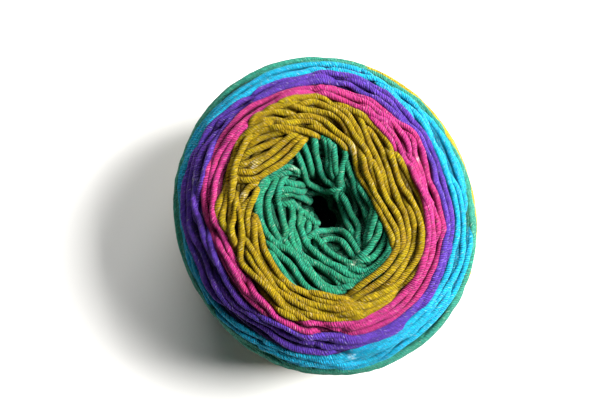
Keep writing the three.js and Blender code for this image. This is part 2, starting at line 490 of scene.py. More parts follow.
MUSTARD_TURNS = [
    # Mustard: the first turns of the upper left
    [(139, 41), (135, 40), (130, 39), (123, 37.5), (116, 36), (109, 35.5)],
    [(147, 40), (142, 38.5), (137, 36.8), (131, 35.3), (124, 34), (117, 33)],
    [(153, 39), (149, 36.5), (144, 34.5), (138, 32.8), (132, 31.5)],
    [(137, 42), (130, 42), (125, 40.5), (119, 38), (113, 35), (106, 34.5)],
    [(135, 45), (131, 46), (126, 46), (121, 44), (117, 42.5), (112, 39), (105, 37)],
    [(133, 46), (128, 47), (123, 47.5), (117, 46.5), (112, 44.5), (107, 42), (104, 39)],
    [(120, 48), (115, 47.5), (109, 47.5), (101, 48)],
    # Mustard: the left
    [(180, 34.5), (175, 33.5), (170, 32.5), (165, 31.5), (160, 29)],
    [(172, 28.5), (178, 31.5), (182, 33), (187, 33), (191, 32.5)],
    [(158, 27), (166, 28), (172, 28.5), (180, 30), (187, 31), (192, 31.5), (199, 32), (205, 32.5)],
    [(162, 42.5), (174, 42.5), (184, 44), (190, 42)],
    [(159, 39.5), (169, 39.5), (174, 40), (180, 41), (185, 41.5), (189, 41.5), (197, 40.5)],
    [(157, 39), (168, 38), (181, 38), (194, 39), (205, 40.5)],
    [(171, 36), (180, 35.5), (187, 36.5), (193, 38), (205, 39.5)],
    [(186, 28), (200, 27.5), (208, 28), (216, 29.5), (233, 32), (247, 35), (259, 36), (270, 38.5),
     (280, 40.5), (289, 41)],
    # Mustard: the foot
    [(262, 35.5), (272, 36.5), (279, 38), (284, 39)],
    [(297, 43), (292, 43.2), (287, 42.6), (282, 41.5), (276, 42), (270, 41)],
    [(312, 46.4), (300, 45.3), (290, 44), (279, 42.5), (269, 41), (258, 39.5), (246, 37), (230, 34),
     (212, 32), (189, 28.5)],
    [(292, 46), (280, 44.5), (270, 44), (258, 41.5), (247, 39.5), (240, 38.5), (227, 35.5), (214, 34),
     (201, 34.5)],
    [(310, 48), (301, 47.5), (283, 47), (273, 45.5), (263, 44.5), (252, 43), (240, 40), (229, 38),
     (216, 36.5), (210, 35.5)],
    [(176, 35), (191, 34), (203, 36), (208, 38), (216, 40.5), (232, 39.5), (242, 41), (251, 44.5),
     (261, 46), (266, 47)],
    [(231, 42.5), (237, 43.5), (248, 45.5), (256, 46.5), (260, 47)],
    # Mustard: the turns over them on the upper left
    [(163, 42.5), (154, 43.5), (146, 45), (140, 46), (134, 44.5), (123, 42.5), (117, 40)],
    [(163, 39.5), (155, 40), (147, 41), (137, 42.5), (132, 42.5)],
    [(106, 33.5), (113, 33), (122, 32), (133, 31.5), (142, 32.5), (151, 35)],
    [(102, 32.5), (109, 31), (117, 29.5), (126, 28.5), (139, 29), (148, 31), (153, 33), (157, 38.5)],
    [(101, 31), (107, 29), (117, 26.5), (128, 25.5), (138, 26), (147, 27.5), (154, 29), (159, 32),
     (162, 37.5)],
    # Mustard: the top
    [(115, 47.5), (104, 48.5), (91, 49), (83, 45), (75, 42), (65, 36.5), (53, 31.5), (45, 29.5),
     (35, 27.5)],
    [(125, 41), (115, 37), (109, 35), (102, 33), (91, 30)],
    [(119, 42.5), (116, 39.5), (111, 38), (104, 38), (97, 37), (86, 34), (75, 30.5), (64, 28)],
    [(97, 35), (90, 33), (83, 31), (75, 29), (66, 26.5)],
    [(112, 40.5), (101, 39.5), (90, 37.5), (79, 32.5), (66, 29.5), (55, 25)],
    [(106, 46.5), (100, 43.5), (89, 41), (78, 38), (70, 33.5), (58, 29.5), (46, 25), (37, 22.5),
     (25, 22)],
    [(103, 45.5), (94, 46.5), (85, 42.5), (75, 38.5), (65, 33.5), (51, 30), (35, 26), (24, 25),
     (12, 25.5)],
    [(82, 46.5), (72, 44.5), (64, 39.5), (53, 33.5), (39, 30.5), (18, 28.5), (7, 29.5)],
    # Mustard: the right, from the edge of the green outwards
    [(60, 27.5), (48, 22), (39, 20.5), (27, 20.5), (12, 22), (0, 23.5), (349, 26), (336, 31.5),
     (327, 34.5)],
    [(55, 29.5), (40, 24), (28, 23), (16, 23), (4, 24.5), (354, 27), (341, 32.5), (331, 35), (316, 35.8),
     (299, 35.8), (288, 37)],
    [(45, 29.5), (27, 27), (17, 26.5), (6, 27.5), (358, 30), (350, 32.5), (338, 35.8), (329, 36.8)],
    [(62, 39.5), (51, 37), (39, 34), (23, 31), (13, 31), (2, 32.5), (354, 35), (340, 38), (329, 38.6),
     (313, 38.7), (298, 38.8), (287, 39.8)],
    [(77, 44.5), (66, 42.5), (55, 41), (44, 39), (32, 35.5), (12, 34.5), (2, 36), (346, 40), (335, 41.4),
     (316, 41.7), (306, 41.5)],
    [(42, 37.5), (30, 35), (14, 35), (6, 37), (353, 41), (337, 44), (326, 44.3), (314, 44.3), (302, 42.6),
     (290, 41.6)],
    [(39, 39.5), (26, 38.5), (11, 40.5), (3, 42), (349, 44.5), (336, 46.8), (326, 47.3), (317, 47.3)],
]
MAGENTA_TURNS = [
    # Magenta: the left and the top
    [(129, 48), (140, 47.5), (151, 47), (165, 46), (184, 45), (193, 43), (203, 42.5), (215, 43.5),
     (227, 44.5)],
    [(93, 51.5), (98, 51), (108, 50), (119, 50), (129, 49.5), (141, 49), (152, 49.5), (165, 48.5),
     (172, 49), (180, 48)],
    [(86, 54), (96, 53.5), (106, 53.5), (116, 54.5), (127, 54.5), (138, 53.5), (150, 52.5), (160, 50.5),
     (177, 50), (190, 48), (200, 46.5), (212, 46.5), (227, 47.5), (242, 49), (248, 50)],
    [(194, 46), (205, 44.5), (217, 44.5), (227, 46), (243, 47), (250, 50), (261, 51.5), (269, 52)],
    [(224, 43), (232, 44.5), (241, 46), (249, 48.5), (260, 50.5), (268, 51.5)],
    [(258, 48), (268, 47.5), (278, 50.5), (282, 51)],
    # Magenta: the right and the foot
    [(69, 46.5), (61, 43.5), (52, 41.5), (42, 40.5), (36, 40)],
    [(71, 49.5), (62, 46.5), (54, 44), (43, 42), (30, 40.5), (10, 42), (353, 43.5), (342, 45.5),
     (328, 47.4), (316, 48.9), (303, 49), (285, 48.8), (269, 47.5)],
    [(30, 41.5), (20, 40.5), (5, 42.5), (353, 45), (346, 46.8), (338, 47.5)],
    [(93, 50.2), (88, 49.8), (81, 48.6), (72, 46.8), (61, 44.5), (52, 46), (43, 46.5), (35, 44)],
    [(34, 45), (24, 44), (12, 44), (0, 45.5), (350, 48.5), (340, 49.6), (328, 50.3), (315, 51.5),
     (303, 51.8), (278, 50.5)],
    [(94, 53), (88, 52.6), (77, 50.8), (67, 49.2), (59, 47.5), (50, 47), (41, 46), (32, 45.5)],
    [(46, 50), (38, 49.5), (31, 47), (20, 46), (8, 46.5), (354, 49.2), (345, 50)],
    [(89, 55.2), (84, 55), (76, 54), (60, 52.5), (52, 50.5), (44, 51), (34, 50.5), (24, 48.5), (15, 48),
     (4, 49.5), (354, 51.2), (341, 52.4), (328, 53.2), (316, 54.2), (304, 54.5), (290, 53.6), (278, 53)],
]
VIOLET_TURNS = [
    # Violet: the left and the top
    [(130, 56), (134, 56), (144, 55), (153, 53), (166, 51), (175, 53), (183, 54), (186, 53.5)],
    [(139, 57.5), (153, 57.5), (164, 56), (175, 54), (184, 52), (194, 51), (205, 50), (210, 50.5)],
    [(84, 60), (91, 59.6), (100, 59), (114, 58.8), (125, 58.4), (136, 58.6), (141, 60)],
    [(190, 49.5), (200, 48.5), (209, 49), (220, 50.5), (234, 51.5), (252, 50.5), (262, 53), (276, 55)],
    [(210, 54.5), (220, 54.5), (230, 54), (241, 52.5), (254, 55), (267, 57)],
    [(150, 62.5), (166, 61.5), (181, 60), (192, 58.5), (203, 57.5), (213, 58.5), (224, 58.5)],
    [(121, 60), (131, 60.5), (143, 61.5), (154, 60), (167, 59), (178, 57.5), (187, 57), (197, 55),
     (211, 55), (226, 56), (242, 55.5), (259, 59), (276, 60)],
    # Violet: the right and the foot
    [(260, 54), (270, 52.5), (281, 54), (291, 57)],
    [(124, 56), (111, 56), (99, 56.2), (88, 57), (78, 57.5), (70, 55.5), (60, 54), (53, 53), (46, 52)],
    [(121, 61.3), (111, 61.3), (96, 61.8), (83, 61), (74, 59.5), (64, 57.5), (57, 57), (49, 55),
     (34, 53.5)],
    [(47, 53.5), (36, 52.5), (24, 51.5), (14, 50), (4, 51), (355, 53), (342, 53), (329, 54.5), (318, 56),
     (295, 56), (277, 54)],
    [(94, 62), (74, 61), (65, 61), (57, 58.5), (48, 57), (37, 56.5), (23, 55.5), (13, 53.5), (355, 55.5),
     (343, 55), (317, 57.5), (293, 56.5), (272, 54.5)],
    [(347, 57), (335, 59), (321, 59), (310, 59), (298, 58), (284, 58.5), (272, 57.5), (267, 57)],
]
TURQUOISE_TURNS = [
    # Turquoise: the top and the left
    [(93, 64), (105, 62), (116, 62), (127, 61.5), (138, 62.5), (150, 63.5), (163, 63.5), (173, 62.5),
     (188, 61.5), (199, 60.5), (214, 60), (229, 60.5), (249, 61)],
    [(87, 66), (95, 65.5), (104, 64.5), (116, 65), (127, 64.5), (139, 64), (155, 65), (175, 63.5),
     (187, 62.5), (199, 61.5), (214, 61), (223, 62), (240, 62), (255, 62)],
    [(72, 68.5), (84, 68.5), (100, 68), (118, 67.5), (135, 67), (150, 66.5), (165, 66), (180, 65.5),
     (195, 64), (210, 64), (225, 64), (240, 64.5), (255, 66.5)],
    # Turquoise: the right and the foot
    [(244, 60), (255, 61), (270, 62), (279, 62), (293, 61.5), (302, 61), (309, 59.5)],
    [(75, 69), (69, 66), (61, 62.5), (53, 60), (45, 58.5)],
    [(88, 66), (76, 65), (63, 65), (52, 62.5), (40, 59.5), (28, 57), (18, 57), (5, 58), (351, 59),
     (328, 60), (301, 59), (280, 61)],
    [(296, 61), (286, 62.6), (274, 63), (262, 62.8), (252, 62.4)],
    [(62, 65.5), (51, 65), (40, 62.5), (29, 61), (16, 60.5), (5, 61.5), (352, 62.5), (337, 63.5),
     (313, 62.5), (298, 62), (285, 64.5), (270, 65), (246, 63)],
    [(60, 68), (47, 66), (37, 65), (26, 64), (13, 63.5), (0, 65), (349, 65), (334, 65.5), (318, 64.5),
     (302, 63.5), (286, 66), (255, 65.5)],
    [(44, 68.5), (30, 67), (14, 66.5), (0, 67.5), (345, 67.5), (330, 67.5), (315, 66.5), (300, 66.5),
     (285, 68), (262, 68)],
]

# Places where the spinner left a thick, poorly dyed slub: degrees, radius, half length, swelling
SLUBS = [
    (149, 34.8, 3.6, 0.3),
    (122, 30.5, 2.6, 0.1),
    (295, 16.8, 2.4, 0.1),
    (313, 27.2, 2.2, 0.1),
    (299, 27.1, 2.0, 0.1),
    (209, 12.6, 1.6, 0.0),
    (125, 21.5, 1.8, 0.0),
    (187, 21.2, 1.6, 0.0),
    (61, 28.5, 2.2, 0.1),
    (28, 45.8, 2.0, 0.1),
    (282, 62.6, 1.8, 0.1),
    (166, 55.8, 2.0, 0.2),
    (172, 33, 1.8, 0.1),
]

RING_MARGIN = 1.0  # how far a turn runs past the edge of its dye before it goes down
SINK = 6.0  # and the distance over which it goes down there
HOLE_RADIUS = 9.5  # a turn that ends nearer the ring centre runs on down the hole
HOLE_RUN = 16.0  # in steps of a millimetre that stop short of this
HOLE_BEND = 4  # the first part of that run, over which it goes on turning
MOUTH_POINTS = 8  # last points of the turn, from which its turning is read
TURN_ON = 0.3  # share of that turning by which it goes on
# Height of the turns over the even form above which they are pressed together, on the flat of the
# top and on the shoulder, and where the shoulder starts and how wide it is
TOP_LIMIT = 0.4
SHOULDER_LIMIT = -1.0
SHOULDER_START = 48
SHOULDER_WIDTH = 16
SLUB_NEAR = 1.0  # a slub is on the strands that run nearer to its place than this
SLUB_FALL = 1.4  # how sharply it ends


def top_strands(pile, dye, turns):
    """The strands of one dye on the top."""
    strands = []
    for knots in turns:
        curve = through(knots)
        angle = np.unwrap(np.arctan2(curve[:, 1], curve[:, 0]))
        radius = np.hypot(curve[:, 0], curve[:, 1])
        shown = smooth_step((ring_edge(dye, angle) + RING_MARGIN + SINK - radius) / SINK)
        along = pile.form.on_top(angle, radius)
        if knots[0][1] < HOLE_RADIUS:
            along, angle, shown = down_the_hole(along[::-1], angle[::-1], shown[::-1])
        if knots[-1][1] < HOLE_RADIUS:
            along, angle, shown = down_the_hole(along, angle, shown)
        steepness = smooth_step((radius.mean() - SHOULDER_START) / SHOULDER_WIDTH)
        limit = TOP_LIMIT + (SHOULDER_LIMIT - TOP_LIMIT) * steepness
        strand = Strand(pile, along, angle, dye, limit, shown=shown)
        mark_slubs(strand)
        strands.append(strand)
    return strands


def down_the_hole(along, angle, shown):
    """Lengthens a strand that ends at the mouth of the hole down the hole's wall."""
    deeper = np.arange(1, HOLE_RUN)
    turning = (angle[-1] - angle[-MOUTH_POINTS]) * TURN_ON
    along = np.concatenate([along, along[-1] - deeper])
    angle = np.concatenate([angle, angle[-1] + turning * np.minimum(deeper, HOLE_BEND) / HOLE_BEND])
    return along, angle, np.concatenate([shown, np.ones(len(deeper))])


def mark_slubs(strand):
    """Swells and pales a strand where it runs through a slub's place."""
    east = strand.radius * np.cos(strand.angle)
    north = strand.radius * np.sin(strand.angle)
    for towards, reach, half, swelling in SLUBS:
        spot_east = reach * math.cos(math.radians(towards))
        spot_north = reach * math.sin(math.radians(towards))
        away = np.hypot(east - spot_east, north - spot_north)
        nearest = int(np.argmin(away))
        if away[nearest] > SLUB_NEAR:
            continue
        run = strand.length - strand.length[nearest]
        bump = np.exp(-((run / half) ** 2) * SLUB_FALL)
        strand.pale = np.maximum(strand.pale, bump)
        strand.swell = strand.swell + swelling * bump


# Lower turns, one after another round the form under the ones that show
PAINTED_INNER_SHADE = -8.0  # painted shade: darkens the inner turns' dye, for the shade between the outer ones
COIL_SPACING = 1.05  # as a share of the yarn's thickness
COIL_LENGTH = 1.04  # in turns
COIL_STEP = 0.02  # radians from one reading to the next
COIL_SHIFT = 1.7  # radians by which the waves of a turn are out of step with those of the one before
COIL_DYE_IN = 1.5  # a lower turn has the dye that shows this much nearer the middle
# Distances along the form between which they lie on the top, from inside the hole to the shoulder,
# and on the side, and for each layer its limit over the form and the size of its waves
HOLE_FOOT = -112.0
SHOULDER = -16.0
TOP_LAYERS = ((-4.9, 1.6), (-3.6, 1.2))
SIDE_FIRST = -14.0
SIDE_LAST = 46.0
SIDE_LAYER = (-5.2, 1.4)


def inner_coils(pile, first, last, limit, swing):
    """Lower turns between two distances along the form."""
    spacing = settings().sizes.diameter * COIL_SPACING
    strands = []
    for number in range(int((last - first) / spacing)):
        begin = draw.uniform(0, FULL_TURN)
        angle = np.arange(begin, begin + FULL_TURN * COIL_LENGTH, COIL_STEP)
        waves = swing * np.sin(3 * angle + number * COIL_SHIFT) + 0.5 * swing * np.sin(5 * angle + number)
        along = first + spacing * (number + (angle - begin) / FULL_TURN) + waves
        radius = pile.form.places(along, angle)[2]
        dye = np.where(along < 0, dye_at(angle, radius - COIL_DYE_IN), RIM)
        strand = Strand(pile, along, angle, dye, limit, sides=6, every=2)
        # Painted shade: the inner turns' dye is darkened for the shade between the outer turns
        strand.shade = PAINTED_INNER_SHADE
        strands.append(strand)
    return strands


# Turns round the underside, each nearest the middle at its crest and wider at its ends
ARC_FIRST = 12  # radius of the first
ARC_LAST = 64
ARC_PARTS = 3  # arcs that together go once round
ARC_SPACING = 0.95  # as a share of the yarn's thickness
ARC_WANDER = 14  # degrees
ARC_HALVES = (68, 84)  # degrees from the crest to an end
ARC_WIDENING = 5.0  # from the crest to an end
ARC_WAVE = 0.3
ARC_SHIFT = 0.38  # share of an arc by which the crests move on from one turn to the next
ARC_DYE_OUT = 1.0  # an arc has the dye that shows this much farther out


def end_arcs(pile, limit):
    """The turns of the underside."""
    spacing = settings().sizes.diameter * ARC_SPACING
    strands = []
    crest = draw.uniform(0, 360)
    for radius in np.arange(ARC_FIRST, ARC_LAST, spacing):
        for part in range(ARC_PARTS):
            middle = crest + part * 360 / ARC_PARTS + draw.uniform(-ARC_WANDER, ARC_WANDER)
            half = draw.uniform(*ARC_HALVES)
            turn = np.radians(np.arange(middle - half, middle + half, math.degrees(PATH_STEP / radius)))
            off = (np.degrees(turn) - middle) / half
            reach = radius + ARC_WIDENING * off**2 + ARC_WAVE * np.sin(turn * 5 + crest)
            along = pile.form.on_underside(turn, reach)
            dye = dye_at(turn, np.full(len(turn), radius + ARC_DYE_OUT))
            strands.append(Strand(pile, along, turn, np.rint(dye), limit, sides=8, every=2))
        crest += 360 / ARC_PARTS * ARC_SHIFT
    return strands


# Slanting loops round the side: each climbs to the shoulder on one side and dips on the other
LOOP_ARMS = 7  # loops after which the winder is back near its first direction
LOOP_DRIFT = 1.02  # how far past it, as a share of the even spacing of all the loops
LOOP_WANDER = 1.2  # degrees
LOOP_TOPS = (62, 66)  # least and most height of the highest place of a loop
LOOP_FEET = (8, 13)  # and of its lowest place
LOOP_LIMIT = -2.1
LOOP_WAVE = 0.5
LOOP_OVERLAP = 0.12  # radians by which a loop runs on past its lowest place at either end
LOOP_STEP = 0.92 / 70  # radians from one reading of a loop to the next
# The last loops, in the last dye, lie as a band of their own, highest about this direction
LAST_LOOPS = 9
LAST_TOWARDS = 42
LAST_SPACING = 5.5  # degrees from one to the next
LAST_WANDER = 1.5
LAST_TOPS = (61, 65)
LAST_FEET = (5, 9)


def side_strands(pile):
    """The lower turns of the side, the loops over them and the last loops."""
    loops = settings().sizes.side_loops
    strands = inner_coils(pile, SIDE_FIRST, SIDE_LAST, *SIDE_LAYER)
    drift = 360 / loops * LOOP_DRIFT
    for number in range(loops):
        towards = number * (360 / LOOP_ARMS) + (number // LOOP_ARMS) * drift
        towards += draw.uniform(-LOOP_WANDER, LOOP_WANDER)
        strands.append(side_loop(pile, towards, draw.uniform(*LOOP_TOPS), draw.uniform(*LOOP_FEET), RIM))
    for number in range(LAST_LOOPS):
        towards = LAST_TOWARDS + (number - LAST_LOOPS // 2) * LAST_SPACING
        towards += draw.uniform(-LAST_WANDER, LAST_WANDER)
        strands.append(side_loop(pile, towards, draw.uniform(*LAST_TOPS), draw.uniform(*LAST_FEET), LAST))
    return strands


def side_loop(pile, towards, top, foot, dye):
    """One loop, highest in a given direction, as a strand that starts and ends at its lowest place."""
    start = math.radians(towards) - math.pi
    turn = np.arange(start - LOOP_OVERLAP, start + FULL_TURN + LOOP_OVERLAP, LOOP_STEP)
    swing = np.cos(turn - math.radians(towards))
    height = (top + foot) / 2 + (top - foot) / 2 * swing + LOOP_WAVE * np.sin(3 * turn + towards)
    return Strand(pile, pile.form.on_side(turn, height), turn, dye, LOOP_LIMIT, sides=8, every=2)


# Making the meshes

FUZZ = 0.035  # how uneven the surface of a strand is, as a share of its half thickness
UNEVEN = ((0.05, 2.3), (0.045, 6.1))  # how its thickness comes and goes: share, and length of the wave
SECTION_WIDTH = 0.95  # of a strand, as a share of its thickness
SECTION_HEIGHT = 0.93


def tube(strand, diameter):
    """Points round a strand, in rings of as many as it has sides, turned with the surface it lies on."""
    line = strand.centre_line()[:: strand.every]
    ahead = unit(np.gradient(line, axis=0))
    side = unit(np.cross(ahead, strand.out[:: strand.every]))
    out = np.cross(side, ahead)
    run = strand.length[:: strand.every]
    uneven = 1
    for times, (share, length) in enumerate(UNEVEN, start=1):
        uneven = uneven + share * np.sin(run / length + times * strand.start)
    half = diameter / 2 * uneven * strand.swell[:: strand.every]
    corner = np.arange(strand.sides) * FULL_TURN / strand.sides - math.pi / 2
    wide = side[:, None] * np.cos(corner)[:, None] * SECTION_WIDTH
    high = out[:, None] * np.sin(corner)[:, None] * SECTION_HEIGHT
    fuzz = 1 + draw.normal(0, FUZZ, (len(line), strand.sides, 1))
    rings = line[:, None] + (wide + high) * half[:, None, None] * fuzz
    rings[..., 2] = np.maximum(rings[..., 2], 0.0)
    return rings


def tube_uv(strand):
    """The yarn's own map on the faces of a tube: millimetres along it, and its share of the way round."""
    start = strand.start + strand.length[:: strand.every]
    sides = strand.sides
    low = np.broadcast_to(np.arange(sides) / sides, (len(start) - 1, sides))
    high = low + 1 / sides
    here = np.broadcast_to(start[:-1, None], low.shape)
    there = np.broadcast_to(start[1:, None], low.shape)
    corners = [(here, low), (there, low), (there, high), (here, high)]
    quads = np.stack([np.stack(corner, -1) for corner in corners], axis=2)
    caps = np.zeros((2 * sides, 2))
    caps[:sides, 0] = start[0]
    caps[sides:, 0] = start[-1]
    return [quads.reshape(-1, 2), caps]


def strand_mesh(name, strands):
    """One object with a closed round tube for each strand, and the strand's dye, paleness and shade."""
    points, faces, uv = [], [], []
    marks = {"dye": [], "pale": [], "shade": []}
    base = 0
    for strand in strands:
        rings = tube(strand, settings().sizes.diameter)
        count, sides = rings.shape[:2]
        points.append(rings.reshape(-1, 3))
        number = base + np.arange(count * sides).reshape(count, sides)
        after = np.roll(number, -1, axis=1)
        quads = np.stack([number[:-1], number[1:], after[1:], after[:-1]], axis=-1)
        faces.extend(quads.reshape(-1, 4).tolist())
        faces.extend([number[0].tolist(), number[-1][::-1].tolist()])
        uv.extend(tube_uv(strand))
        marks["dye"].append(np.repeat(strand.dye[:: strand.every], sides))
        marks["pale"].append(np.repeat(strand.pale[:: strand.every], sides))
        marks["shade"].append(np.full(count * sides, strand.shade))
        base += count * sides
    mesh = bpy.data.meshes.new(name)
    mesh.from_pydata((np.vstack(points) * MM).tolist(), [], faces)
    layer = mesh.uv_layers.new(name="Yarn")
    layer.data.foreach_set("uv", np.vstack(uv).astype(np.float32).ravel())
    for label, values in marks.items():
        attribute = mesh.attributes.new(label, "FLOAT", "POINT")
        attribute.data.foreach_set("value", np.concatenate(values).astype(np.float32))
    mesh.polygons.foreach_set("use_smooth", np.ones(len(mesh.polygons), bool))
    mesh.materials.append(state["yarn"])
    mesh.validate()
    return place_piece(name, mesh)


def place_piece(name, mesh):
    """An object for a finished mesh, riding on the cake's one body."""
    piece = bpy.data.objects.new(name, mesh)
    bpy.context.scene.collection.objects.link(piece)
    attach(piece, "root")
    return piece


CORE_ROWS = 120  # points of the core round its section
CORE_TURNS = 90  # and round the drum
CORE_START = 10  # radius of the round section that is then drawn out to the form


def core_mesh(form, depth):
    """A closed ring with the shape of the wound form, a little smaller all over."""
    shape = bmesh.new()
    upright = Matrix.Translation((CORE_RADIUS * MM, 0, 0)) @ Matrix.Rotation(math.pi / 2, 4, "X")
    bmesh.ops.create_circle(shape, segments=CORE_ROWS, radius=CORE_START * MM, matrix=upright)
    section = [*shape.verts, *shape.edges]
    round_it = {"cent": (0, 0, 0), "axis": (0, 0, 1), "angle": FULL_TURN}
    bmesh.ops.spin(shape, geom=section, steps=CORE_TURNS, use_merge=True, **round_it)
    dye_layer = shape.verts.layers.float.new("dye")
    for vert in shape.verts:
        angle = math.atan2(vert.co.y, vert.co.x)
        lift = math.atan2(vert.co.z, math.hypot(vert.co.x, vert.co.y) - CORE_RADIUS * MM)
        share = (math.pi - lift) / FULL_TURN
        along = np.array([FORM_FIRST + share * (FORM_LAST - FORM_FIRST)])
        place, out, radius = form.places(along, np.array([angle]))
        vert.co = Vector(place[0] - out[0] * depth) * MM
        vert.co.z = max(vert.co.z, depth * MM)
        vert[dye_layer] = float(dye_at(angle, radius[0])) if along[0] < 0 else RIM
    bmesh.ops.recalc_face_normals(shape, faces=shape.faces)
    for face in shape.faces:
        face.smooth = True
    mesh = bpy.data.meshes.new("core")
    shape.to_mesh(mesh)
    shape.free()
    mesh.materials.append(inner_yarn())
    return mesh


# Materials


def add(tree, kind, inputs=None, **values):
    """Adds a node, sets its values, and sets its inputs or links them to sockets or first outputs."""
    made = tree.nodes.new(kind)
    for label, value in values.items():
        setattr(made, label, value)
    for socket, value in (inputs or {}).items():
        if isinstance(value, bpy.types.Node):
            value = value.outputs[0]
        if isinstance(value, bpy.types.NodeSocket):
            tree.links.new(value, made.inputs[socket])
        else:
            made.inputs[socket].default_value = value
    return made


def new_material(name):
    """An empty node material with its shader and output."""
    material = bpy.data.materials.new(name)
    material.use_nodes = True
    tree = material.node_tree
    tree.nodes.clear()
    shader = add(tree, "ShaderNodeBsdfPrincipled")
    add(tree, "ShaderNodeOutputMaterial", {"Surface": shader})
    return material, tree, shader


def dye_ramp(tree):
    """The colour of the dye whose number a piece carries."""
    colours = settings().colours
    last = len(DYES) - 1
    dye = add(tree, "ShaderNodeAttribute", attribute_name="dye")
    share = add(tree, "ShaderNodeMath", {0: dye.outputs["Fac"], 1: 1 / last}, operation="MULTIPLY")
    ramp = add(tree, "ShaderNodeValToRGB", {0: share})
    stops = ramp.color_ramp.elements
    stops[0].color = colours.green
    stops[1].color = colours.last
    for number, label in enumerate(DYES[1:-1], start=1):
        stops.new(number / last).color = getattr(colours, label)
    return ramp


PLIES = 3.0  # ridges round the yarn
FLECK_SHARE = 0.28  # how pale a fleck is
SHADE_SHARE = 0.07  # how much a strand's shade value lightens or darkens it: random tone, and painted shade on inner turns


